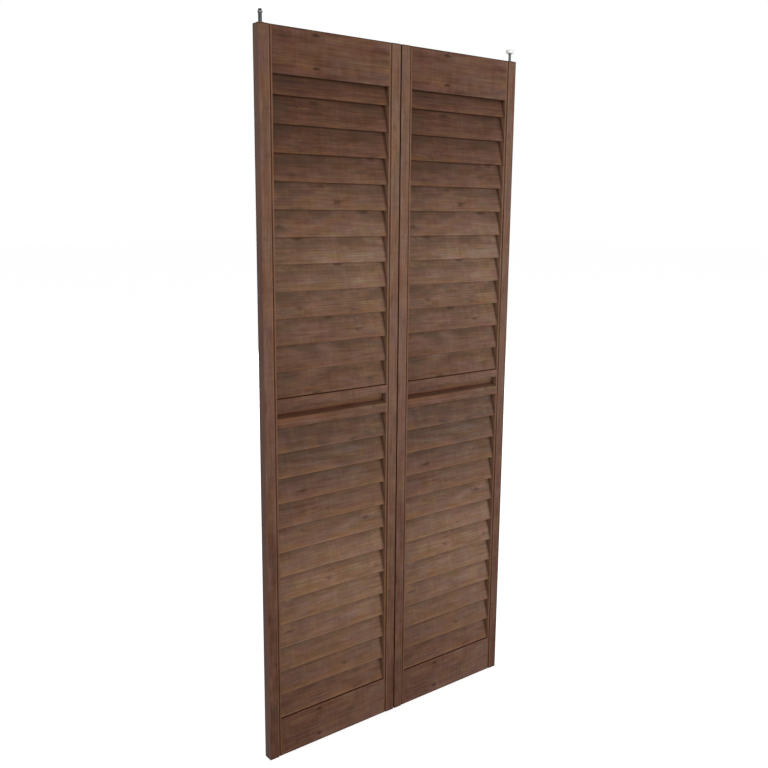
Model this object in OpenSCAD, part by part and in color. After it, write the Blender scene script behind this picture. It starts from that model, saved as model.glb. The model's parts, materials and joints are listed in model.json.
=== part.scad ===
// Two-leaf louvred bifold closet door with fixed slats, hinged behind the gap between the leaves.
// X runs along the width from the pivot side, Y from the room into the closet and Z up.
// The origin is on the pivot axis, at the mouth of the bottom socket.
// The lead leaf is the pivot leaf mirrored about the middle of the gap.

/* [Leaves] */
// Height of both leaves
door_h = 2000; // [1900:1:2150]
// Width of one leaf
leaf_w = 449; // [300:1:600]
// Thickness of the stiles
door_t = 30; // [28:0.5:40]

/* [Stiles] */
// Width of a stile with its bead
stile_w = 38.5; // [36:0.5:60]
// Width of the bead along a stile's inner edge
bead_w = 4.8; // [3:0.1:8]
// Width of the quirk beside the bead
quirk_w = 4; // [2:0.1:6]
// Depth of the quirk below a stile's face
quirk_d = 3; // [2.5:0.1:5]
// Radius of the stiles' long arrises
arris_r = 1.5; // [0.5:0.1:2]
// Radius of the bead's arrises
bead_r = 1; // [0.3:0.1:1.2]
// Wood left between the quirk and the housings that hold the slats' ends
housing_wall = 1.5; // [0.5:0.1:2]

/* [Rails] */
// How far the rails lie behind the stiles' faces
rail_reveal = 1.3; // [0.5:0.1:2]
// Height of the top rail
top_rail_h = 115; // [90:1:160]
// Height of the bottom rail
bottom_rail_h = 118; // [90:0.1:200]
// Height of the middle rail's face below the finger groove
lower_lip_h = 26.5; // [20:0.5:40]
// Height of the finger groove's mouth
groove_h = 30; // [20:0.5:40]
// Height of the middle rail's face above the finger groove
upper_lip_h = 26.4; // [20:0.1:40]
// Depth of the finger groove
groove_d = 21; // [10:0.5:22]
// Rise of the finger groove's floor towards the back
groove_rise = 8; // [0:0.5:12]
// Radius of the rails' long arrises
rail_r = 0.8; // [0.3:0.1:1.2]
// Height of the rebate along a rail's front top edge, under the lowest slat
rebate_h = 2.3; // [1:0.1:4]
// Depth of the rebate from the rail's face
rebate_d = 7.2; // [5:0.1:12]

/* [Slats] */
// Spacing of the slats
slat_pitch = 71; // [60:0.5:80]
// How far a slat's top edge laps behind the next slat
slat_lap = 5; // [1:0.1:12]
// Thickness of a slat
slat_t = 5.2; // [4:0.1:8]
// Slats in the lower bank of each leaf
lower_slats = 12; // [6:1:14]
// Gap between a rail and the slat above it
slat_lift = 0.2; // [0.1:0.1:1]
// How far the slats' edges lie behind the rails' faces
slat_reveal = 0.5; // [0.3:0.1:4]

/* [Dowels] */
// Diameter of the dowels
dowel_d = 8; // [6:0.5:12]
// Length of the dowels
dowel_l = 40; // [35:1:60]
// Distance of the dowels from the edges of the top and bottom rails
dowel_edge = 25; // [15:1:40]

/* [Hinges] */
// Height of a hinge
hinge_h = 76; // [50:1:100]
// Width of a hinge plate
plate_w = 23; // [15:0.5:26]
// Thickness of a hinge plate
plate_t = 1.6; // [1.2:0.1:2]
// Gap between the two plates of a closed hinge
plate_gap = 0.8; // [0.4:0.1:2]
// Outside diameter of the knuckles
knuckle_d = 6; // [5:0.1:8]
// Diameter of a hinge pin
hinge_pin_d = 3; // [2:0.1:4]
// Distance of the end hinges' middles from the ends of the leaves
hinge_end = 200; // [150:1:300]
// Diameter of a hinge screw's shank
screw_d = 3.5; // [3:0.1:4]
// Length of a hinge screw's straight shank
screw_l = 16; // [12:0.5:20]

/* [Sprung pins] */
// Distance of the pins' axes from the outer edges of the leaves
pin_inset = 13.5; // [12:0.5:16]
// How far a pin can be pressed down
pin_travel = 15; // [8:0.5:18]
// Outside diameter of the sleeves
sleeve_d = 15; // [14:0.1:17]
// Wall of the sleeves
sleeve_wall = 1.75; // [1.2:0.05:1.9]
// Length left for a spring when its pin is pressed right down
pressed_spring_l = 26.8; // [18:0.1:40]
// Diameter of a sleeve's flange
flange_d = 20; // [17:0.5:26]
// Thickness of a sleeve's flange
flange_t = 2; // [1:0.1:3]
// Diameter of the spring wire
wire_d = 1.1; // [0.8:0.1:1.4]
// Turns of a spring
spring_turns = 8; // [5:1:12]

/* [Top pivot pin] */
// Diameter of the pivot pin
pivot_d = 9.5; // [8:0.1:10]
// Height of the pivot pin above the leaf
pivot_stand = 34; // [30:0.5:40]
// Diameter of the pivot pin's collar
collar_d = 13; // [11:0.1:16]
// Height of the pivot pin's collar
collar_h = 3; // [2:0.1:5]
// Diameter of the pivot pin's tip
tip_d = 9; // [6:0.1:10]
// Height of the pivot pin's tip above the collar
tip_h = 5.6; // [4:0.1:8]

/* [Guide pin] */
// Diameter of the guide pin
guide_d = 8; // [7:0.1:9.5]
// Diameter of the axle through the roller
axle_d = 6; // [4:0.1:6.5]
// Height of the roller's underside above the leaf
roller_stand = 25.2; // [22:0.1:32]
// Diameter of the roller
roller_d = 24; // [20:0.5:30]
// Height of the roller
roller_h = 9.6; // [7:0.1:14]

/* [Bottom socket] */
// Diameter of the bottom socket's bore
socket_bore_d = 9.6; // [8:0.1:11]
// Depth of the bottom socket's bore
socket_bore_l = 30; // [20:1:45]

/* [Hidden] */
$fn = 64;

// Radial clearance of shafts, pins and dowels in their holes
fit = 0.05;
// Clearance of flat pieces that are let into wood
slip = 0.2;
// How far a cut runs past the face that it opens
overrun = 1;

// Colours
stile_colour = [0.43, 0.32, 0.26];
rail_colour = [0.40, 0.29, 0.23];
slat_colour = [0.42, 0.31, 0.25];
dowel_colour = [0.78, 0.66, 0.48];
hinge_colour = [0.62, 0.61, 0.58];
steel_colour = [0.50, 0.51, 0.52];
nylon_colour = [0.93, 0.93, 0.91];

// Places of the leaves
face_y = -door_t / 2;
leaf_gap = 2 * plate_t + plate_gap;
outer_x = -pin_inset;
meet_x = leaf_w - pin_inset;
mid_x = meet_x + leaf_gap / 2;
rail_x0 = outer_x + stile_w;
rail_x1 = meet_x - stile_w;
rail_l = rail_x1 - rail_x0;

// Rails and banks of slats, from the bottom up
rail_t = door_t - 2 * rail_reveal;
mid_rail_h = lower_lip_h + groove_h + upper_lip_h;
mid_rail_z = bottom_rail_h + slat_lift + lower_slats * slat_pitch;
top_rail_z = door_h - top_rail_h;
lower_bank = [bottom_rail_h, mid_rail_z];
upper_bank = [mid_rail_z + mid_rail_h, top_rail_z];

// A slat is a board with round edges, leaning back from the rails' front to their back
slat_run = rail_t - 2 * slat_reveal - slat_t;
slat_rise = slat_pitch + slat_lap - slat_t;
slat_tilt = atan(slat_run / slat_rise);
slat_flat = norm([slat_run, slat_rise]);
housing_d = bead_w - housing_wall;
// Least part of a pitch that still gets a slat, cut off under the rail above
least_slat_share = 0.25;

// Dowels: two at each end of each rail, stopping short of the sleeves' holes
dowel_wall = 1.5;
dowel_in_stile = stile_w - pin_inset - sleeve_d / 2 - dowel_wall;
dowel_zs = [
    dowel_edge, bottom_rail_h - dowel_edge,
    mid_rail_z + lower_lip_h / 2, mid_rail_z + lower_lip_h + groove_h + upper_lip_h / 2,
    top_rail_z + dowel_edge, door_h - dowel_edge
];

// Hinges
hinge_zs = [hinge_end, door_h / 2, door_h - hinge_end];
hinge_y = door_t / 2 + knuckle_d / 2;
knuckle_l = hinge_h / 3;
// Gap between the knuckles, end to end
knuckle_gap = 0.3;
// Gap between a plate's edge and the other plate's knuckles
web_gap = 0.4;
plate_y = hinge_y - knuckle_d / 2 - web_gap;
plate_r = 3;
pin_head_d = (hinge_pin_d + knuckle_d) / 2;
pin_head_h = 1.2;

// Hinge screws, with their places as shares of a plate's height and width
screw_z_shares = [1/6, 1/2, 5/6];
screw_y_shares = [0.36, 0.64, 0.36];
// Straight rim left in the plate under a screw's head
head_land = 0.1;
head_h = plate_t - head_land;
head_d = screw_d + 2 * head_h;
screw_point_l = 3;
screw_point_d = 0.6;
recess_l_share = 0.62;
recess_w = 0.9;
recess_d = 1;

// Sprung pins: a foot that slides in the sleeve's bore and stops under its throat
bore_d = sleeve_d - 2 * sleeve_wall;
throat_l = 6;
sleeve_floor_t = 3;
foot_h = 4;
stop_gap = 0.2;
sleeve_l = sleeve_floor_t + pressed_spring_l + pin_travel + foot_h + stop_gap + throat_l;
foot_z = door_h - throat_l - stop_gap - foot_h;
tip_chamfer = 0.8;

// Springs, between the sleeve's floor and the foot
spring_seat = 0.15;
spring_side_gap = 0.35;
spring_r = bore_d / 2 - spring_side_gap - wire_d / 2;
spring_z0 = door_h - sleeve_l + sleeve_floor_t + spring_seat + wire_d / 2;
spring_z1 = foot_z - spring_seat - wire_d / 2;
spring_sides = 8;
rings_per_turn = 18;

// Guide pin and roller
roll_gap = 0.3;
shoulder_h = 1.5;
shoulder_d = 11.5;
rivet_d = 9.5;
rivet_h = 1.4;
rivet_recess_d = 11.5;
rivet_recess_h = 2;
roller_r = 2.2;
roller_z = door_h + roller_stand;

// Bottom socket
socket_floor_t = 4;
socket_l = socket_bore_l + socket_floor_t;

// Helpers

// Draws the lead leaf's copy of a pivot leaf's piece
module lead_side() {
    translate([2 * mid_x, 0, 0]) mirror([1, 0, 0]) children();
}

// Extrudes a section drawn in Y and Z along X, from x = 0
module along_x(length) {
    rotate([90, 0, 90]) linear_extrude(length) children();
}

// What a round of radius r takes off the corner of a section at the origin, with the section at +X and +Y
module round_off(r) {
    difference() {
        translate([-overrun, -overrun]) square(r + overrun);
        translate([r, r]) circle(r);
    }
}

// Stiles

// Cuts on one face of a stile's section: the quirk, the bead's step and the rounded arrises
module stile_face_cuts() {
    quirk_x = stile_w - bead_w - quirk_w;
    bead_x = stile_w - bead_w;
    bead_y = face_y + rail_reveal;
    translate([quirk_x, face_y - overrun]) square([quirk_w, quirk_d + overrun]);
    translate([bead_x, face_y - overrun]) square([bead_w + overrun, rail_reveal + overrun]);
    translate([0, face_y]) round_off(arris_r);
    translate([quirk_x, face_y]) mirror([1, 0]) round_off(arris_r);
    translate([bead_x, bead_y]) round_off(bead_r);
    translate([stile_w, bead_y]) mirror([1, 0]) round_off(bead_r);
}

// Section of a stile, with its outer edge at x = 0 and its bead at x = stile_w
module stile_section() {
    difference() {
        translate([0, face_y]) square([stile_w, door_t]);
        for (side = [0, 1]) mirror([0, side]) stile_face_cuts();
    }
}

// Housings for both banks of slats, open towards +X at x
module housings(x) {
    translate([x - housing_d, 0, 0]) along_x(housing_d + overrun) {
        bank_section(lower_bank, slip);
        bank_section(upper_bank, slip);
    }
}

// Hole for a sleeve of the given length, with its mouth at z = 0 and its end at z = length
module sleeve_hole(length) {
    translate([0, 0, -overrun]) cylinder(h = length + slip + overrun, d = sleeve_d + 2 * fit);
}

// Stile that carries a sprung pin at its top
module outer_stile(with_socket) {
    color(stile_colour) difference() {
        translate([outer_x, 0, 0]) linear_extrude(door_h) stile_section();
        housings(rail_x0);
        dowel_set(fit);
        translate([0, 0, door_h]) mirror([0, 0, 1]) sleeve_hole(sleeve_l);
        if (with_socket) sleeve_hole(socket_l);
    }
}

// Stile beside the gap, with the hinges' screw holes in its edge
module meeting_stile() {
    color(stile_colour) difference() {
        translate([meet_x, 0, 0]) mirror([1, 0, 0]) linear_extrude(door_h) stile_section();
        translate([rail_x0 + rail_x1, 0, 0]) mirror([1, 0, 0]) housings(rail_x0);
        dowel_set(fit);
        for (z = hinge_zs) at_screws(z) screw_body(fit);
    }
}

// Rails and dowels

// Section of a rail with its foot at z = 0 and its four arrises rounded
module rail_section(height) {
    difference() {
        translate([-rail_t / 2, 0]) square([rail_t, height]);
        for (side = [0, 1]) mirror([side, 0]) translate([-rail_t / 2, 0]) {
            round_off(rail_r);
            translate([0, height]) mirror([0, 1]) round_off(rail_r);
        }
    }
}

// Section of the finger groove, with both lips rounded
module groove_section() {
    front = -rail_t / 2;
    floor_tilt = atan(groove_rise / groove_d);
    lip_drop = rail_r / cos(floor_tilt) - rail_r * tan(floor_tilt);
    translate([front, 0]) {
        polygon([
            [0, lower_lip_h], [groove_d, lower_lip_h + groove_rise],
            [groove_d, lower_lip_h + groove_h], [-overrun, lower_lip_h + groove_h], [-overrun, lower_lip_h]
        ]);
        translate([0, lower_lip_h + groove_h]) round_off(rail_r);
        difference() {
            translate([-overrun, lower_lip_h - lip_drop]) square([overrun + rail_r, lip_drop + groove_rise]);
            translate([rail_r, lower_lip_h - lip_drop]) circle(rail_r);
            translate([0, lower_lip_h]) rotate(floor_tilt) translate([lip_drop, -groove_h]) square(groove_h);
        }
    }
}

// Section of a rebate along the front top edge of a rail of this height, with its edge rounded
module rebate_section(height) {
    translate([-rail_t / 2, height - rebate_h]) {
        translate([-overrun, 0]) square([rebate_d + overrun, rebate_h + overrun]);
        mirror([0, 1]) round_off(rail_r);
    }
}

// Rail from height z, with its section as the children
module rail(z) {
    color(rail_colour) difference() {
        translate([rail_x0, 0, z]) along_x(rail_l) children();
        dowel_set(fit);
    }
}

module top_rail() {
    rail(top_rail_z) rail_section(top_rail_h);
}

// Middle rail, with a finger groove along its front
module mid_rail() {
    rail(mid_rail_z) difference() {
        rail_section(mid_rail_h);
        groove_section();
        rebate_section(mid_rail_h);
    }
}

module bottom_rail() {
    rail(0) difference() {
        rail_section(bottom_rail_h);
        rebate_section(bottom_rail_h);
    }
}

// All dowels of a leaf, enlarged all round by grow
module dowel_set(grow) {
    length = dowel_l + 2 * grow;
    for (z = dowel_zs, x = [rail_x0 - dowel_in_stile, rail_x1 + dowel_in_stile - dowel_l])
        translate([x - grow, 0, z]) rotate([0, 90, 0]) cylinder(h = length, d = dowel_d + 2 * grow);
}

module dowels() {
    color(dowel_colour) dowel_set(0);
}

// Slats

function slat_count(bank) = ceil((bank[1] - bank[0]) / slat_pitch - least_slat_share);

// Section of one slat with its lowest point at z = 0, enlarged all round by grow
module slat_section(grow) {
    r = slat_t / 2 + grow;
    translate([-rail_t / 2 + slat_reveal + slat_t / 2, slat_t / 2]) {
        circle(r);
        rotate(-slat_tilt) translate([-r, 0]) square([2 * r, slat_flat]);
        translate([slat_run, slat_rise]) circle(r);
    }
}

// Section of a bank of slats, enlarged by grow and cut off under the rail above
module bank_section(bank, grow) {
    intersection() {
        for (i = [0 : slat_count(bank) - 1])
            translate([0, bank[0] + slat_lift + i * slat_pitch]) slat_section(grow);
        translate([face_y, bank[0]]) square([door_t, bank[1] - bank[0] - slip + grow]);
    }
}

module slats(bank) {
    end = housing_d - slip;
    color(slat_colour) translate([rail_x0 - end, 0, 0]) along_x(rail_l + 2 * end) bank_section(bank, 0);
}

// Hinges

// One knuckle of the pivot plate with the web that joins it to the plate
module knuckle(z, height) {
    translate([mid_x, hinge_y, z]) cylinder(h = height, d = knuckle_d);
    translate([meet_x, plate_y, z]) cube([plate_t, hinge_y - plate_y, height]);
}

// Flat of a hinge plate on the pivot leaf's edge, with its two free corners rounded
module plate_flat() {
    translate([meet_x, 0, 0]) along_x(plate_t) translate([plate_y - plate_w, 0]) difference() {
        square([plate_w, hinge_h]);
        round_off(plate_r);
        translate([0, hinge_h]) mirror([0, 1]) round_off(plate_r);
    }
}

// Hole for the hinge pin through all knuckles
module pin_hole() {
    translate([mid_x, hinge_y, -overrun]) cylinder(h = hinge_h + 2 * overrun, d = hinge_pin_d + 2 * fit);
}

// Plate on the pivot leaf, with the two end knuckles
module pivot_plate(z) {
    color(hinge_colour) difference() {
        translate([0, 0, z - hinge_h / 2]) difference() {
            union() {
                plate_flat();
                knuckle(0, knuckle_l - knuckle_gap / 2);
                knuckle(hinge_h - knuckle_l + knuckle_gap / 2, knuckle_l - knuckle_gap / 2);
            }
            pin_hole();
        }
        at_screws(z) screw_body(fit);
    }
}

// Plate on the lead leaf, with the middle knuckle
module lead_plate(z) {
    color(hinge_colour) lead_side() difference() {
        translate([0, 0, z - hinge_h / 2]) difference() {
            union() {
                plate_flat();
                knuckle(knuckle_l + knuckle_gap / 2, knuckle_l - knuckle_gap);
            }
            pin_hole();
        }
        at_screws(z) screw_body(fit);
    }
}

// Hinge pin with a button on each end
module hinge_pin(z) {
    color(hinge_colour) translate([mid_x, hinge_y, z - hinge_h / 2]) {
        translate([0, 0, -pin_head_h]) cylinder(h = pin_head_h, d1 = hinge_pin_d, d2 = pin_head_d);
        translate([0, 0, -pin_head_h]) cylinder(h = hinge_h + 2 * pin_head_h, d = hinge_pin_d);
        translate([0, 0, hinge_h]) cylinder(h = pin_head_h, d1 = pin_head_d, d2 = hinge_pin_d);
    }
}

// Countersunk screw pointing along -X with its head's face at x = 0, enlarged all round by grow
module screw_body(grow) {
    rotate([0, -90, 0]) {
        cylinder(h = head_h, d1 = head_d + 2 * grow, d2 = screw_d + 2 * grow);
        cylinder(h = screw_l, d = screw_d + 2 * grow);
        translate([0, 0, screw_l])
            cylinder(h = screw_point_l + grow, d1 = screw_d + 2 * grow, d2 = screw_point_d + 2 * grow);
    }
}

// Cross recess in a screw's head
module screw_recess() {
    recess_l = head_d * recess_l_share;
    for (turn = [0, 90]) rotate([turn, 0, 0])
        translate([-recess_d, -recess_l / 2, -recess_w / 2]) cube([recess_d + overrun, recess_l, recess_w]);
}

// Places the children at each screw of one hinge on the pivot leaf
module at_screws(z) {
    for (i = [0 : len(screw_z_shares) - 1])
        translate([
            meet_x + plate_t,
            plate_y - plate_w * screw_y_shares[i],
            z - hinge_h / 2 + hinge_h * screw_z_shares[i]
        ]) children();
}

// All hinge screws of the pivot leaf
module all_hinge_screws() {
    color(steel_colour) for (z = hinge_zs) at_screws(z) difference() {
        screw_body(0);
        screw_recess();
    }
}

// Sprung pins

// Sleeve let into the top of an outer stile, closed at its foot, with a throat for the pin
module sleeve(shaft_d) {
    color(nylon_colour) translate([0, 0, door_h - sleeve_l]) difference() {
        union() {
            cylinder(h = sleeve_l, d = sleeve_d);
            translate([0, 0, sleeve_l]) cylinder(h = flange_t, d = flange_d);
        }
        translate([0, 0, sleeve_floor_t]) cylinder(h = sleeve_l - sleeve_floor_t - throat_l, d = bore_d);
        translate([0, 0, sleeve_floor_t]) cylinder(h = sleeve_l + flange_t, d = shaft_d + 2 * fit);
    }
}

// Foot and shaft of a sprung pin, up to a height above the leaf
module pin_shaft(shaft_d, stand) {
    translate([0, 0, foot_z]) cylinder(h = foot_h, d = bore_d - 2 * fit);
    translate([0, 0, foot_z]) cylinder(h = door_h + stand - foot_z, d = shaft_d);
}

// Top pivot pin with its collar and chamfered tip
module top_pivot_pin() {
    collar_z = door_h + pivot_stand - tip_h - collar_h;
    color(steel_colour) {
        pin_shaft(pivot_d, pivot_stand - tip_h - collar_h);
        translate([0, 0, collar_z]) cylinder(h = collar_h, d = collar_d);
        translate([0, 0, collar_z + collar_h]) cylinder(h = tip_h - tip_chamfer, d = tip_d);
        translate([0, 0, door_h + pivot_stand - tip_chamfer])
            cylinder(h = tip_chamfer, d1 = tip_d, d2 = tip_d - 2 * tip_chamfer);
    }
}

// Guide pin: shaft, shoulder, axle and the rivet head that keeps the roller on
module guide_pin() {
    rivet_z = roller_z + roller_h - rivet_recess_h + roll_gap;
    color(steel_colour) translate([2 * mid_x, 0, 0]) {
        pin_shaft(guide_d, roller_stand - roll_gap);
        translate([0, 0, roller_z - roll_gap - shoulder_h]) cylinder(h = shoulder_h, d = shoulder_d);
        translate([0, 0, roller_z - roll_gap]) cylinder(h = rivet_z - roller_z + roll_gap, d = axle_d);
        translate([0, 0, rivet_z]) cylinder(h = rivet_h, d1 = rivet_d, d2 = axle_d);
    }
}

// Roller that runs in the head track, recessed for the rivet head
module guide_roller() {
    inner_r = axle_d / 2 + fit;
    color(nylon_colour) translate([2 * mid_x, 0, roller_z]) rotate_extrude() difference() {
        translate([inner_r, 0]) square([roller_d / 2 - inner_r, roller_h]);
        translate([roller_d / 2, 0]) mirror([1, 0]) round_off(roller_r);
        translate([roller_d / 2, roller_h]) mirror([1, 0]) mirror([0, 1]) round_off(roller_r);
        translate([0, roller_h - rivet_recess_h]) square([rivet_recess_d / 2, rivet_recess_h + overrun]);
    }
}

// Points of one ring of the spring's wire at a share of its length
function spring_ring(share) = [
    for (j = [0 : spring_sides - 1])
        let (
            turn = 360 * spring_turns * share,
            around = 360 * j / spring_sides,
            r = spring_r + wire_d / 2 * cos(around),
            z = spring_z0 + (spring_z1 - spring_z0) * share + wire_d / 2 * sin(around)
        ) [r * cos(turn), r * sin(turn), z]
];

// Coil spring between a sleeve's floor and a pin's foot
module spring() {
    last = spring_turns * rings_per_turn;
    n = spring_sides;
    points = [for (i = [0 : last]) each spring_ring(i / last)];
    walls = [
        for (i = [0 : last - 1], j = [0 : n - 1])
            let (k = (j + 1) % n) [i * n + j, i * n + k, (i + 1) * n + k, (i + 1) * n + j]
    ];
    first_end = [for (j = [n - 1 : -1 : 0]) j];
    last_end = [for (j = [0 : n - 1]) last * n + j];
    color(steel_colour) polyhedron(points, concat(walls, [first_end, last_end]));
}

// Socket in the foot of the pivot stile for the floor bracket's pin
module bottom_pivot_socket() {
    color(nylon_colour) difference() {
        cylinder(h = socket_l, d = sleeve_d);
        translate([0, 0, -overrun]) cylinder(h = socket_bore_l + overrun, d = socket_bore_d);
    }
}

// Pivot leaf
outer_stile(true);  // pivot_leaf_outer_stile
meeting_stile();  // pivot_leaf_meeting_stile
top_rail();  // pivot_leaf_top_rail
mid_rail();  // pivot_leaf_mid_rail
bottom_rail();  // pivot_leaf_bottom_rail
slats(upper_bank);  // pivot_leaf_upper_slats
slats(lower_bank);  // pivot_leaf_lower_slats
dowels();  // pivot_leaf_dowels

// Lead leaf
lead_side() outer_stile(false);  // lead_leaf_outer_stile
lead_side() meeting_stile();  // lead_leaf_meeting_stile
lead_side() top_rail();  // lead_leaf_top_rail
lead_side() mid_rail();  // lead_leaf_mid_rail
lead_side() bottom_rail();  // lead_leaf_bottom_rail
lead_side() slats(upper_bank);  // lead_leaf_upper_slats
lead_side() slats(lower_bank);  // lead_leaf_lower_slats
lead_side() dowels();  // lead_leaf_dowels

// Hinges
pivot_plate(hinge_zs[0]);  // lower_hinge_pivot_plate
lead_plate(hinge_zs[0]);  // lower_hinge_lead_plate
hinge_pin(hinge_zs[0]);  // lower_hinge_pin
pivot_plate(hinge_zs[1]);  // middle_hinge_pivot_plate
lead_plate(hinge_zs[1]);  // middle_hinge_lead_plate
hinge_pin(hinge_zs[1]);  // middle_hinge_pin
pivot_plate(hinge_zs[2]);  // upper_hinge_pivot_plate
lead_plate(hinge_zs[2]);  // upper_hinge_lead_plate
hinge_pin(hinge_zs[2]);  // upper_hinge_pin
all_hinge_screws();  // pivot_leaf_hinge_screws
lead_side() all_hinge_screws();  // lead_leaf_hinge_screws

// Sprung pins and bottom socket
sleeve(pivot_d);  // top_pivot_sleeve
top_pivot_pin();
spring();  // top_pivot_spring
lead_side() sleeve(guide_d);  // guide_sleeve
guide_pin();
lead_side() spring();  // guide_spring
guide_roller();
bottom_pivot_socket();
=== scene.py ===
import json
import math

import bpy
from mathutils import Matrix, Vector

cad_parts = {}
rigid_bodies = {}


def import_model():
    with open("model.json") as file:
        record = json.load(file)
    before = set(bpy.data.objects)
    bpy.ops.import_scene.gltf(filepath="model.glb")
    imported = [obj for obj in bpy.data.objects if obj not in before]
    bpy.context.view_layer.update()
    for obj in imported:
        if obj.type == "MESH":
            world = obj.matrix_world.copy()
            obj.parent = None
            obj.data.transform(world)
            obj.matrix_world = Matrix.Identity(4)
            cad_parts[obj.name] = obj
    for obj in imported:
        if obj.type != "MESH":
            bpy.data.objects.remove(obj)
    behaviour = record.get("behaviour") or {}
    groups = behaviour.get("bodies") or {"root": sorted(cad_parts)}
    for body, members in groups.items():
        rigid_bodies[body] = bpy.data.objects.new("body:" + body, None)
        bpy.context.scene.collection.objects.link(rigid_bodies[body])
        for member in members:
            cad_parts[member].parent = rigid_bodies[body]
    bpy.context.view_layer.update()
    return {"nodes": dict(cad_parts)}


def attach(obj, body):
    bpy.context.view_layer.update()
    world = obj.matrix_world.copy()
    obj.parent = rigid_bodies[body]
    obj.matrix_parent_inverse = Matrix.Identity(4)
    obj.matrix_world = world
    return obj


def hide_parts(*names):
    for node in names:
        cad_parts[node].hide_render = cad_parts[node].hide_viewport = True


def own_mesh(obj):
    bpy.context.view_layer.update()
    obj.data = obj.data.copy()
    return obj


for leftover in list(bpy.data.objects):
    bpy.data.objects.remove(leftover)

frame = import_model()

# Sizes of the door that the materials follow, in metres

LEAF_START = -0.0135
LEAF_WIDTH = 0.449
LEAF_PITCH = 0.453
HALF_GAP = 0.002
MEETING = 0.4375
DOOR_HEIGHT = 2.0
FRONT = -0.015
BACK = 0.015
STILE_WIDTH = 0.0385
BEAD_WIDTH = 0.0048
BEAD_EDGE = STILE_WIDTH - BEAD_WIDTH
QUIRK_WIDTH = 0.004
QUIRK_EDGE = BEAD_EDGE - QUIRK_WIDTH

# Slats: their tilt and spacing, and the point in the lowest slat's front edge that they are counted from
SLAT_TILT = math.radians(16.7)
SLAT_PITCH = 0.071
SLAT_STEP = SLAT_PITCH * math.sin(SLAT_TILT)
SLAT_START = 0.1208
SLAT_NOSE_Y = -0.0119

# Rails: levels of the rebates under the lowest slats, and levels and back of the finger groove
REBATES = (0.1165, 1.0516)
GROOVE_LIP = 0.992
GROOVE_FLOOR = 1.005
GROOVE_BROW = 1.032
GROOVE_BACK = 0.0073

# Levels where the pivot pin's bright collar and dark tip begin, and half the height of each change
COLLAR_LEVEL = 2.0254
TIP_LEVEL = 2.0284
CRISP = 0.0001


class Shader:
    """A node material and the short calls that build it."""

    def __init__(self, name):
        self.material = bpy.data.materials.new(name)
        self.material.use_nodes = True
        self.nodes = self.material.node_tree.nodes
        self.links = self.material.node_tree.links
        self.surface = self.nodes["Principled BSDF"]

    def put(self, socket, value):
        if isinstance(value, bpy.types.NodeSocket):
            self.links.new(value, socket)
        else:
            socket.default_value = value

    def set(self, **values):
        for key, value in values.items():
            self.put(self.surface.inputs[key.replace("_", " ")], value)

    def node(self, kind, inputs, output=0, **settings):
        made = self.nodes.new(kind)
        for key, value in settings.items():
            setattr(made, key, value)
        for key, value in inputs.items():
            self.put(made.inputs[key], value)
        return made.outputs[output]

    def calc(self, operation, *values):
        return self.node("ShaderNodeMath", dict(enumerate(values)), operation=operation)

    def add(self, total, *others):
        for other in others:
            total = self.calc("ADD", total, other)
        return total

    def times(self, product, *others):
        for other in others:
            product = self.calc("MULTIPLY", product, other)
        return product

    def minus(self, a, b):
        return self.calc("SUBTRACT", a, b)

    def most(self, a, b):
        return self.calc("MAXIMUM", a, b)

    def step(self, value, nose_light, high):
        """0 below low and 1 above high, smooth between; low above high turns it round."""
        inputs = {"Value": value, "From Min": nose_light, "From Max": high}
        return self.node("ShaderNodeMapRange", inputs, interpolation_type="SMOOTHSTEP")

    def near(self, value, centre, width):
        """1 at centre, falling to 0 at width from it."""
        away = self.calc("ABSOLUTE", self.minus(value, centre))
        return self.step(away, width, 0.0)

    def mix(self, share, a, b, blend="MIX"):
        inputs = {0: share, 6: a, 7: b}
        return self.node("ShaderNodeMix", inputs, 2, data_type="RGBA", blend_type=blend)

    def tint(self, tone, colour, mask, share=1.0):
        """Mixes a share of the colour into the tone where the mask is 1."""
        return self.mix(self.times(mask, share), tone, colour)

    def noise(self, place, scales, detail, roughness, seed):
        """Noise over a place (x, y, z), stretched by the scale along each axis."""
        stretched = [self.times(part, scale) for part, scale in zip(place, scales)]
        vector = self.node("ShaderNodeCombineXYZ", dict(enumerate(stretched)))
        inputs = {"Vector": vector, "W": seed, "Scale": 1.0, "Detail": detail, "Roughness": roughness}
        return self.node("ShaderNodeTexNoise", inputs, noise_dimensions="4D")

    def place(self):
        """The point's place in the row frame at rest."""
        coordinates = self.nodes.new("ShaderNodeTexCoord").outputs["Object"]
        split = self.nodes.new("ShaderNodeSeparateXYZ")
        self.links.new(coordinates, split.inputs[0])
        return tuple(split.outputs)

    def ramp(self, value, stops):
        made = self.nodes.new("ShaderNodeValToRGB")
        elements = made.color_ramp.elements
        while len(elements) < len(stops):
            elements.new(1.0)
        for element, (position, colour) in zip(elements, stops):
            element.position = position
            element.color = (*colour, 1.0)
        self.links.new(value, made.inputs[0])
        return made.outputs[0]

    def bump(self, height, distance, strength):
        inputs = {"Height": height, "Distance": distance, "Strength": strength}
        return self.node("ShaderNodeBump", inputs)


def rgb(red, green, blue):
    """A linear colour from display values of 0 to 255."""
    def linear(value):
        value /= 255.0
        return value / 12.92 if value <= 0.04045 else ((value + 0.055) / 1.055) ** 2.4
    return linear(red), linear(green), linear(blue)


def colour(*values):
    return (*rgb(*values), 1.0)


# Stained wood

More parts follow.
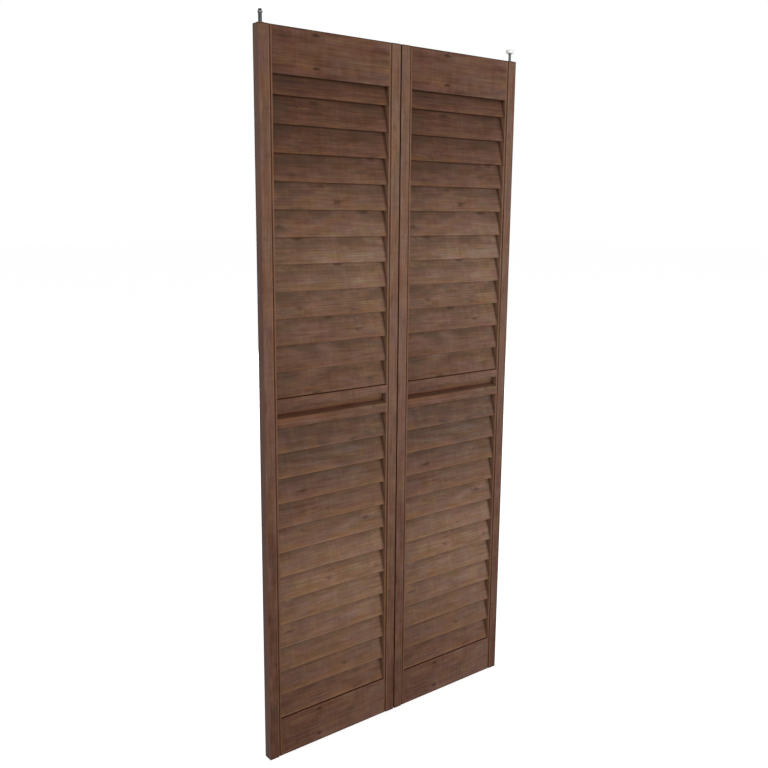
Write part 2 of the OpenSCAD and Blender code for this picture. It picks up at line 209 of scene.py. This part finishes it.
STAIN = [
    (0.00, rgb(57, 38, 31)),
    (0.25, rgb(81, 54, 42)),
    (0.50, rgb(98, 71, 58)),
    (0.75, rgb(114, 88, 72)),
    (1.00, rgb(134, 108, 89)),
]
WARM_TO_COOL = [(0.34, (1.02, 1.00, 0.82)), (0.50, (1.01, 1.00, 0.98)), (0.66, (1.00, 1.01, 1.15))]
RED_TO_OLIVE = [(0.34, (1.06, 0.96, 0.99)), (0.66, (0.94, 1.03, 1.00))]
ASHEN = (0.92, 1.02, 1.06, 1.0)
# Smoky patches of the wood; also painted shade on the upper part of each slat
SMOKE_AND_SHADE = colour(65, 53, 42)
# Orange patches of the wood and the warm bead; also a painted light low on each slat near its nose
ORANGE_AND_HIGHLIGHT = colour(122, 85, 56)
# Painted highlight on the groove's lower lip
HIGHLIGHT_AMBER = colour(106, 70, 44)
# Painted shade on the groove's floor
SHADE_RUSSET = colour(84, 44, 28)
KNOT = colour(44, 27, 19)
# Painted shade in the corners, quirks and gaps between the leaves, along the ends and outer arrises, and at
# the slats' far ends and undersides
SHADE_BROWN = colour(47, 22, 8)
# Painted shade in the rebates under the lowest slats
SHADE_UMBER = colour(80, 36, 6)
# Wear on the front arrises; also a painted highlight on the slats' noses, the lips beside the quirks and
# the stiles' inner sides
WEAR_AND_HIGHLIGHT = colour(140, 107, 82)
# A greyish painted reflection on the stiles' outer sides, paler higher up
SIDE_REFLECTION_GREY = colour(108, 80, 72)
SIDE_REFLECTION_PALE = colour(123, 93, 83)

# Noises of the wood: scales along the three axes, detail, roughness, and what is added to the seed
NOISES = {
    "drift": ((2.2, 9.0, 9.0), 2.0, 0.50, 11.0),
    "patches": ((15.0, 44.0, 44.0), 4.0, 0.60, 0.0),
    "streaks": ((9.0, 165.0, 165.0), 3.0, 0.62, 41.0),
    "figure": ((95.0, 15.0, 15.0), 2.0, 0.50, 47.0),
    "grain": ((7.0, 330.0, 330.0), 4.0, 0.62, 3.0),
    "fibres": ((26.0, 1400.0, 1400.0), 3.0, 0.60, 17.0),
    "pores": ((80.0, 2100.0, 2100.0), 2.0, 0.50, 5.0),
    "hue": ((13.0, 46.0, 46.0), 3.0, 0.55, 29.0),
    "blush": ((16.0, 60.0, 60.0), 3.0, 0.60, 31.0),
    "smoke": ((13.0, 40.0, 40.0), 3.0, 0.60, 23.0),
    "glow": ((13.0, 52.0, 52.0), 3.0, 0.55, 37.0),
    "cloud": ((14.0, 24.0, 24.0), 3.0, 0.60, 51.0),
}
# How far each noise swings the lightness of the stain
SWINGS = {"patches": 0.135, "streaks": 0.115, "figure": 0.045, "grain": 0.12, "fibres": 0.07}
# The noise values between which a smoky or orange patch begins
PATCH_RIM = (0.58, 0.74)
# Growth rings: radians of their wave for each metre across and from the patches, and the bend of the grain
RING_SCALE = 900.0
RING_WANDER = 7.0
GRAIN_BEND = 0.018

# How light the wood is at heights along a stile and along the banks of slats
STILE_FADE = [
    (0.05, 0.20), (0.40, 0.27), (0.65, 0.35), (0.90, 0.46),
    (1.20, 0.53), (1.50, 0.57), (1.95, 0.54),
]
SLAT_FADE = [
    (0.12, 0.39), (0.30, 0.58), (0.43, 0.74), (0.50, 0.755), (0.58, 0.66), (0.75, 0.55), (0.95, 0.41),
    (1.06, 0.48), (1.22, 0.61), (1.30, 0.72), (1.43, 0.76), (1.55, 0.57), (1.70, 0.33), (1.86, 0.21),
]
# How much lighter the stain is: all over, on rails and slats for each metre to the right in a leaf, on
# the lead leaf's rails and slats, and on all stiles but the pivot leaf's outer one
LIFT = 0.012
RIGHT_LIFT = 0.50
LEAD_LIFT = 0.07
STILE_LIFT = 0.12
# How light the rails are, and how much lighter the middle rail is
RAIL_LIGHT = 0.395
MID_RAIL_LIFT = 0.12

# Knots, from the left edge of the leaf and the floor
RAIL_KNOTS = [(0.169, 1.988), (0.169, 1.907), (0.169, 0.102), (0.169, 0.022)]
SLAT_KNOTS = [
    (0.170, 1.822), (0.360, 1.690), (0.195, 1.612), (0.240, 1.572), (0.335, 1.545), (0.055, 1.505),
    (0.117, 1.475), (0.252, 1.405), (0.117, 1.292), (0.217, 1.260), (0.315, 1.222), (0.167, 1.057),
    (0.290, 0.905), (0.120, 0.780), (0.345, 0.655), (0.210, 0.500), (0.075, 0.370), (0.265, 0.215),
]


def leaf_place(s):
    """Place with x counted from the left edge of the leaf, alike on both leaves, and x as it is."""
    x, y, z = s.place()
    leaf_x = s.calc("FLOORED_MODULO", s.add(x, HALF_GAP - LEAF_START), LEAF_PITCH)
    return s.minus(leaf_x, HALF_GAP), y, z, x


def fade(s, z, stops):
    """A value that follows the stops (height, value)."""
    ramp = [(height / DOOR_HEIGHT, (value, value, value)) for height, value in stops]
    return s.ramp(s.times(z, 1.0 / DOOR_HEIGHT), ramp)


def lead_leaf(s, own):
    """1 on the lead leaf and 0 on the pivot leaf."""
    return s.step(own, MEETING - HALF_GAP / 2, MEETING + HALF_GAP / 2)


def rise(s, x, own):
    """The stain lightens towards the right of each leaf, and from the pivot leaf to the lead leaf."""
    along = s.times(s.minus(x, LEAF_WIDTH / 2), RIGHT_LIFT)
    return s.add(along, s.times(lead_leaf(s, own), LEAD_LIFT))


def swing(s, noise, reach):
    """Noise about zero, of about this reach."""
    return s.times(s.minus(noise, 0.5), 4.0 * reach)


def wood_noise(s, name, place, seed):
    """One of the wood's noises, over a place on a board."""
    scales, detail, roughness, offset = NOISES[name]
    return s.noise(place, scales, detail, roughness, s.add(seed, offset))


def wood(s, along, across, deep, own, seed, light, contrast):
    """Colour, height and grain of stained softwood. own differs from leaf to leaf."""
    board = (along, across, deep)
    bent = s.add(across, s.times(wood_noise(s, "drift", board, seed), GRAIN_BEND))
    places = {
        "patches": board,
        "streaks": (along, bent, deep),
        "figure": board,
        "grain": (along, bent, deep),
        "fibres": (along, bent, own),
    }
    fields = {name: wood_noise(s, name, place, seed) for name, place in places.items()}
    for name, reach in SWINGS.items():
        light = s.add(light, swing(s, fields[name], reach * contrast))
    grain, fibres = fields["grain"], fields["fibres"]

    # Dark marks, late wood and pores
    marks = s.step(fields["streaks"], 0.60, 0.74)
    rings = s.calc("SINE", s.add(s.times(bent, RING_SCALE), s.times(fields["patches"], RING_WANDER)))
    late = s.step(rings, 0.3, 1.0)
    pores = s.step(wood_noise(s, "pores", (along, across, own), seed), 0.57, 0.70)
    lines = s.add(s.times(marks, 0.16), s.times(late, 0.045), s.times(pores, 0.07))
    tone = s.ramp(s.add(s.minus(light, lines), LIFT), STAIN)

    # Changes of hue, and smoky and orange patches
    hue = s.add(wood_noise(s, "hue", board, seed), s.times(lead_leaf(s, own), 0.04))
    tone = s.mix(1.0, tone, s.ramp(hue, WARM_TO_COOL), "MULTIPLY")
    blush = wood_noise(s, "blush", board, seed)
    tone = s.mix(1.0, tone, s.ramp(blush, RED_TO_OLIVE), "MULTIPLY")
    tone = s.tint(tone, SMOKE_AND_SHADE, s.step(wood_noise(s, "smoke", board, seed), *PATCH_RIM), share=0.55)
    tone = s.tint(tone, ORANGE_AND_HIGHLIGHT, s.step(wood_noise(s, "glow", board, seed), *PATCH_RIM), share=0.32)

    raised = s.add(grain, s.times(fibres, 0.5))
    sunk = s.add(s.times(pores, 0.5), s.times(late, 0.2))
    return tone, s.minus(raised, sunk), grain


def knot_mask(s, along, across, centres, long, wide):
    """1 in the knots at these places, falling to 0 at their edges."""
    total = None
    for at, level in centres:
        dx = s.times(s.minus(along, at), 1.0 / long)
        dy = s.times(s.minus(across, level), 1.0 / wide)
        far = s.calc("SQRT", s.add(s.times(dx, dx), s.times(dy, dy)))
        one = s.step(far, 1.0, 0.15)
        total = one if total is None else s.most(total, one)
    return total


def finish_wood(s, tone, height, grain, z):
    """Painted shade darkens the wood in the corners, where little open sky reaches, and along the top and
    bottom ends but not on the top face; the wood is duller in the corners and at the ends.
    """
    open_sky = s.node("ShaderNodeAmbientOcclusion", {"Distance": 0.022}, 1, samples=8)
    corner_shade = s.step(open_sky, 0.64, 0.22)
    ends = s.add(s.step(z, DOOR_HEIGHT - 0.0030, DOOR_HEIGHT - 0.0012), s.step(z, 0.0030, 0.0012))
    top_face = s.step(z, DOOR_HEIGHT - 0.00015, DOOR_HEIGHT - 0.00005)
    painted_shade = s.most(corner_shade, s.minus(ends, top_face))
    dull = s.most(corner_shade, ends)
    s.set(Base_Color=s.tint(tone, SHADE_BROWN, painted_shade, share=0.90), Specular_IOR_Level=0.05)
    s.set(Roughness=s.add(0.43, s.times(grain, 0.16), s.times(dull, 0.35)))
    s.set(Normal=s.bump(height, 0.00018, 0.7))
    return s.material


def stile_wood():
    s = Shader("stained_stile")
    x, y, z, own = leaf_place(s)
    right = s.calc("GREATER_THAN", x, LEAF_WIDTH / 2)
    light = s.add(fade(s, z, STILE_FADE), s.times(s.step(own, 0.1, 0.3), STILE_LIFT))
    tone, height, grain = wood(s, z, x, y, own, s.add(s.times(right, 4.0), 1.3), light, contrast=1.3)

    # The bead is warm, and painted shade darkens the quirk beside it
    inset = s.minus(LEAF_WIDTH / 2, s.calc("ABSOLUTE", s.minus(x, LEAF_WIDTH / 2)))
    front = s.step(y, FRONT + 0.006, FRONT + 0.002)
    bead = s.near(inset, BEAD_EDGE + BEAD_WIDTH / 2, width=BEAD_WIDTH * 0.6)
    tone = s.tint(tone, ORANGE_AND_HIGHLIGHT, s.times(bead, front), share=0.40)
    quirk_shade = s.near(inset, BEAD_EDGE - QUIRK_WIDTH * 0.45, width=QUIRK_WIDTH * 0.7)
    tone = s.tint(tone, SHADE_BROWN, s.times(quirk_shade, front), share=0.9)

    # The long edges: painted shade on the sides in the gap between the leaves, a greyish painted reflection
    # on the outer sides, paler higher up, and painted light on the inner sides along the slats
    side_reflection = s.mix(s.step(z, 1.35, 1.70), SIDE_REFLECTION_GREY, SIDE_REFLECTION_PALE)
    side_reflection_and_shade = s.mix(s.near(own, MEETING, width=0.1), side_reflection, SHADE_BROWN)
    tone = s.tint(tone, side_reflection_and_shade, s.step(inset, 0.0006, 0.0002), share=0.6)
    tone = s.tint(tone, WEAR_AND_HIGHLIGHT, s.step(inset, STILE_WIDTH - 0.0006, STILE_WIDTH - 0.0002), share=0.4)

    # Painted shade along the outer arrises of the pair
    lead_arris_shade = s.times(s.step(inset, 0.0050, 0.0015), s.step(own, 0.70, 0.80))
    pivot_side = s.step(own, LEAF_START + 0.0010, LEAF_START + 0.0003)
    pivot_arris_shade = s.times(pivot_side, s.step(y, BACK - 0.0065, BACK - 0.0020))
    tone = s.tint(tone, SHADE_BROWN, s.add(lead_arris_shade, pivot_arris_shade), share=0.7)

    # Wear along the front arrises, and a painted highlight on the lip beside the quirk
    rub = s.step(s.noise((z, x, y), (9.0, 60.0, 60.0), 4.0, 0.65, 71.0), 0.52, 0.70)
    arris = s.near(inset, 0.0008, width=0.0022)
    lip_highlight = s.near(inset, QUIRK_EDGE - 0.0012, width=0.0026)
    wear_and_highlight = s.add(s.times(arris, rub, 0.5), s.times(lip_highlight, 0.35))
    tone = s.tint(tone, WEAR_AND_HIGHLIGHT, s.times(wear_and_highlight, s.step(y, FRONT + 0.003, FRONT + 0.0005)))
    return finish_wood(s, tone, height, grain, z)


def rail_wood():
    s = Shader("stained_rail")
    x, y, z, own = leaf_place(s)
    level = s.calc("FLOOR", s.times(z, 3.0))
    middle = s.near(z, DOOR_HEIGHT / 2, width=0.2)
    light = s.add(rise(s, x, own), s.add(RAIL_LIGHT, s.times(middle, MID_RAIL_LIFT)))
    tone, height, grain = wood(s, x, z, y, own, s.add(s.times(level, 3.7), 2.1), light, contrast=1.35)
    uneven = s.times(s.minus(s.noise((x, z, y), (60.0, 120.0, 60.0), 2.0, 0.5, 3.0), 0.5), 0.008)
    knots = knot_mask(s, s.add(x, uneven), z, RAIL_KNOTS, long=0.016, wide=0.006)
    tone = s.tint(tone, KNOT, knots, share=0.85)

    # The finger groove: a painted highlight on the lip, a darker smoky band at the brow and a reddish
    # painted shade on the floor
    ahead = s.step(y, GROOVE_BACK + 0.0035, GROOVE_BACK + 0.0015)
    recess = s.times(s.step(y, FRONT + 0.0012, FRONT + 0.0016), ahead)
    lip_highlight = s.times(s.near(z, GROOVE_LIP, width=0.018), ahead, s.step(x, 0.30, 0.04))
    tone = s.tint(tone, HIGHLIGHT_AMBER, lip_highlight, share=0.50)
    brow = s.times(s.near(z, GROOVE_BROW, width=0.016), ahead, s.step(x, 0.18, 0.04))
    tone = s.tint(tone, SMOKE_AND_SHADE, brow, share=0.30)
    tone = s.tint(tone, SHADE_RUSSET, s.times(s.near(z, GROOVE_FLOOR, width=0.010), recess), share=0.55)

    # Painted shade darkens the rebates under the lowest slats
    rebate_shade = s.add(*(s.near(z, rebate, width=0.0022) for rebate in REBATES))
    tone = s.tint(tone, SHADE_UMBER, s.times(rebate_shade, recess))
    return finish_wood(s, tone, height, grain, z)


def slat_wood():
    s = Shader("stained_slat")
    x, y, z, own = leaf_place(s)

    # Number of the slat from the bottom, depth through the slats, and height up the slat's slope
    cos, sin = math.cos(SLAT_TILT), math.sin(SLAT_TILT)
    up = s.minus(z, SLAT_START)
    back = s.minus(y, SLAT_NOSE_Y)
    through = s.minus(s.times(up, sin), s.times(back, cos))
    number = s.calc("FLOOR", s.times(s.add(through, 0.009), 1.0 / SLAT_STEP))
    slope = s.add(s.times(up, cos), s.times(back, sin))
    inner = s.minus(slope, s.times(number, SLAT_PITCH * cos))

    # Each slat has its own seed and lightness
    chance = s.node("ShaderNodeTexWhiteNoise", {"W": s.add(number, 0.37)}, 1, noise_dimensions="1D")
    split = s.nodes.new("ShaderNodeSeparateColor")
    s.links.new(chance, split.inputs[0])
    first, second = split.outputs[:2]
    seed = s.times(first, 40.0)
    light = s.add(fade(s, z, SLAT_FADE), s.times(s.minus(second, 0.5), 0.08), rise(s, x, own))
    tone, height, grain = wood(s, x, inner, through, own, seed, light, contrast=1.25)

    # The top of the lower bank is ashen; the slats are smoky at their left end, with painted shade at their
    # top under the slat above, and a warm painted light low down near the nose
    ashen = s.times(s.step(z, 0.70, 0.86), s.step(z, 1.03, 0.99))
    tone = s.mix(ashen, tone, ASHEN, "MULTIPLY")
    cloud = wood_noise(s, "cloud", (x, inner, through), seed)
    end = s.times(s.step(x, 0.135, 0.045), s.step(cloud, 0.36, 0.60))
    tone = s.tint(tone, SMOKE_AND_SHADE, end, share=0.28)
    top_shade = s.times(s.step(inner, 0.034, 0.066), s.step(cloud, 0.30, 0.62))
    tone = s.tint(tone, SMOKE_AND_SHADE, top_shade, share=0.45)
    nose_light = s.times(s.step(inner, 0.030, 0.002), s.step(cloud, 0.62, 0.42))
    tone = s.tint(tone, ORANGE_AND_HIGHLIGHT, nose_light, share=0.34)

    # Knots, a painted highlight on the front edge, and painted shade at the far end and underside
    uneven = s.times(s.minus(s.noise((x, z, y), (70.0, 160.0, 70.0), 3.0, 0.6, 13.0), 0.5), 0.030)
    uneven_z = s.add(z, s.times(uneven, 0.35))
    knots = knot_mask(s, s.add(x, uneven), uneven_z, SLAT_KNOTS, long=0.024, wide=0.008)
    tone = s.tint(tone, KNOT, knots, share=0.5)
    tone = s.tint(tone, WEAR_AND_HIGHLIGHT, s.near(inner, 0.0006, width=0.0030), share=0.28)
    slat_end = LEAF_WIDTH - STILE_WIDTH
    far_end_shade = s.step(x, slat_end - 0.014, slat_end - 0.001)
    under_shade = s.step(inner, -0.0004, -0.0019)
    tone = s.tint(tone, SHADE_BROWN, s.most(far_end_shade, under_shade), share=0.7)
    return finish_wood(s, tone, height, grain, z)


def dowel_wood():
    s = Shader("plain_dowel")
    grain = s.noise(s.place(), (30.0, 900.0, 900.0), 3.0, 0.6, 9.0)
    tone = s.ramp(grain, [(0.35, rgb(168, 128, 88)), (0.65, rgb(203, 168, 124))])
    s.set(Base_Color=tone, Roughness=0.6, Normal=s.bump(grain, 0.0002, 0.6))
    return s.material


# Metal and nylon

def shaded(shade, share):
    """A colour at this share of its display values."""
    return colour(*(value * share for value in shade))


def steel(name, shade, rough, stretch, ends=None):
    """Plated steel with fine draw marks along one axis and a soft tarnish."""
    s = Shader(name)
    place = s.place()
    marks = s.noise(place, stretch, 3.0, 0.6, 2.0)
    tarnish = s.step(s.noise(place, (220.0, 220.0, 220.0), 4.0, 0.6, 8.0), 0.42, 0.68)
    tone = s.tint(colour(*shade), shaded(shade, 0.72), tarnish, share=0.35)
    if ends:
        tone = ends(s, place, tone)
    s.set(Base_Color=tone, Metallic=1.0)
    s.set(Roughness=s.add(rough - 0.06, s.times(marks, 0.10), s.times(tarnish, 0.10)))
    s.set(Normal=s.bump(marks, 0.00004, 0.6))
    return s.material


def nylon(name, shade, rough):
    """Moulded nylon with a fine mould grain and a little dust."""
    s = Shader(name)
    place = s.place()
    grain = s.noise(place, (2600.0, 2600.0, 2600.0), 2.0, 0.5, 4.0)
    dust = s.step(s.noise(place, (160.0, 160.0, 160.0), 4.0, 0.6, 6.0), 0.48, 0.72)
    tone = s.tint(colour(*shade), shaded(shade, 0.86), dust, share=0.30)
    s.set(Base_Color=tone, Roughness=s.add(rough, s.times(grain, 0.12)))
    s.set(Normal=s.bump(grain, 0.00003, 0.5))
    return s.material


def pin_ends(s, place, tone):
    """The pin's collar is bright, and its tip is dark."""
    for level, shade in ((COLLAR_LEVEL, (122, 121, 119)), (TIP_LEVEL, (46, 45, 46))):
        tone = s.tint(tone, colour(*shade), s.step(place[2], level - CRISP, level + CRISP))
    return tone


finishes = {
    "stile_wood": stile_wood(),
    "rail_wood": rail_wood(),
    "slat_wood": slat_wood(),
    "dowel_wood": dowel_wood(),
    "hinge_steel": steel("plated_hinge", (176, 174, 168), 0.34, (300.0, 300.0, 3000.0)),
    "screw_steel": steel("plated_screw", (190, 186, 176), 0.30, (2000.0, 400.0, 2000.0)),
    "pin_steel": steel("plated_pin", (78, 77, 77), 0.36, (600.0, 600.0, 3000.0)),
    "spring_steel": steel("spring_wire", (160, 158, 156), 0.28, (900.0, 900.0, 900.0)),
    "sleeve_nylon": nylon("grey_nylon", (120, 114, 108), 0.42),
    "roller_nylon": nylon("white_nylon", (232, 232, 228), 0.38),
}
for node in frame["nodes"].values():
    for slot in node.material_slots:
        slot.material = finishes[slot.material.name.split(".")[0]]
pivot_pin = steel("pivot_pin", (72, 71, 71), 0.60, (600.0, 600.0, 3000.0), pin_ends)
frame["nodes"]["top_pivot_pin"].material_slots[0].material = pivot_pin


# Springs

def make_spring(node, body):
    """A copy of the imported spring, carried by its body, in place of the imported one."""
    spring = bpy.data.objects.new(node + "_coil", frame["nodes"][node].data.copy())
    bpy.context.scene.collection.objects.link(spring)
    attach(spring, body)
    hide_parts(node)
    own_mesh(spring)


make_spring("top_pivot_spring", "pivot_leaf")
make_spring("guide_spring", "lead_leaf")


# Floor, light and camera

WHITE = (1.0, 1.0, 1.0, 1.0)
FLOOR_SIDE = 40.0
FLOOR_LEVEL = -0.0005
FLOOR_COLOUR = (0.80, 0.80, 0.80, 1.0)
FLOOR_GLOW = 0.72
WORLD_LIGHT = 0.34
LAMP_TARGET = (0.44, 0.0, 1.05)
# The camera's place, its angles in degrees (turn from +Y, tip below the level, and roll), and its
# sensor and lens in millimetres
CAMERA_PLACE = (-1.18182, -2.01156, 1.54473)
CAMERA_TURN = -38.1487
CAMERA_TIP = 10.929
CAMERA_ROLL = 0.525
CAMERA_SENSOR = 36.0
CAMERA_LENS = 41.585


def seen_plainly(tree):
    """1 where the camera, a reflection or a clear piece looks at the surface."""
    path = tree.nodes.new("ShaderNodeLightPath")
    seen = path.outputs["Is Camera Ray"]
    for name in ("Is Glossy Ray", "Is Transmission Ray"):
        either = tree.nodes.new("ShaderNodeMath")
        either.operation = "MAXIMUM"
        tree.links.new(seen, either.inputs[0])
        tree.links.new(path.outputs[name], either.inputs[1])
        seen = either.outputs[0]
    return seen


def make_floor():
    mesh = bpy.data.meshes.new("floor")
    corners = [(x * FLOOR_SIDE, y * FLOOR_SIDE, 0.0) for x, y in ((-1, -1), (1, -1), (1, 1), (-1, 1))]
    mesh.from_pydata(corners, [], [(0, 1, 2, 3)])
    floor = bpy.data.objects.new("floor", mesh)
    bpy.context.scene.collection.objects.link(floor)
    floor.location.z = FLOOR_LEVEL
    s = Shader("pale_floor")
    seen = seen_plainly(s.material.node_tree)
    s.set(Base_Color=FLOOR_COLOUR, Roughness=0.9, Specular_IOR_Level=0.0)
    s.set(Emission_Color=WHITE, Emission_Strength=s.times(seen, FLOOR_GLOW))
    mesh.materials.append(s.material)


def make_world():
    """White where it is seen, and dimmer as light on the object."""
    world = bpy.data.worlds.new("studio")
    bpy.context.scene.world = world
    world.use_nodes = True
    tree = world.node_tree
    background = tree.nodes["Background"]
    background.inputs["Color"].default_value = WHITE
    level = tree.nodes.new("ShaderNodeMapRange")
    tree.links.new(seen_plainly(tree), level.inputs["Value"])
    level.inputs["To Min"].default_value = WORLD_LIGHT
    level.inputs["To Max"].default_value = 1.0
    tree.links.new(level.outputs[0], background.inputs["Strength"])


def make_lamp(name, place, size, power):
    light = bpy.data.lights.new(name, "AREA")
    light.shape = "DISK"
    light.size = size
    light.energy = power
    lamp = bpy.data.objects.new(name, light)
    bpy.context.scene.collection.objects.link(lamp)
    lamp.location = place
    aim = Vector(LAMP_TARGET) - Vector(place)
    lamp.rotation_euler = aim.to_track_quat("-Z", "Y").to_euler()


def make_camera():
    data = bpy.data.cameras.new("camera")
    data.sensor_width = CAMERA_SENSOR
    data.lens = CAMERA_LENS
    data.clip_start = 0.05
    data.clip_end = 60.0
    camera = bpy.data.objects.new("camera", data)
    bpy.context.scene.collection.objects.link(camera)
    turn = Matrix.Rotation(math.radians(CAMERA_TURN), 4, "Z")
    tip = Matrix.Rotation(math.radians(90.0 - CAMERA_TIP), 4, "X")
    roll = Matrix.Rotation(math.radians(CAMERA_ROLL), 4, "Z")
    camera.matrix_world = Matrix.Translation(CAMERA_PLACE) @ turn @ tip @ roll
    bpy.context.scene.camera = camera


make_floor()
make_world()
make_lamp("key", place=(-2.19, -8.61, 1.85), size=3.6, power=615.0)
make_lamp("back", place=(2.60, 7.00, 1.60), size=3.0, power=380.0)
make_camera()
bpy.context.scene.view_settings.view_transform = "Standard"
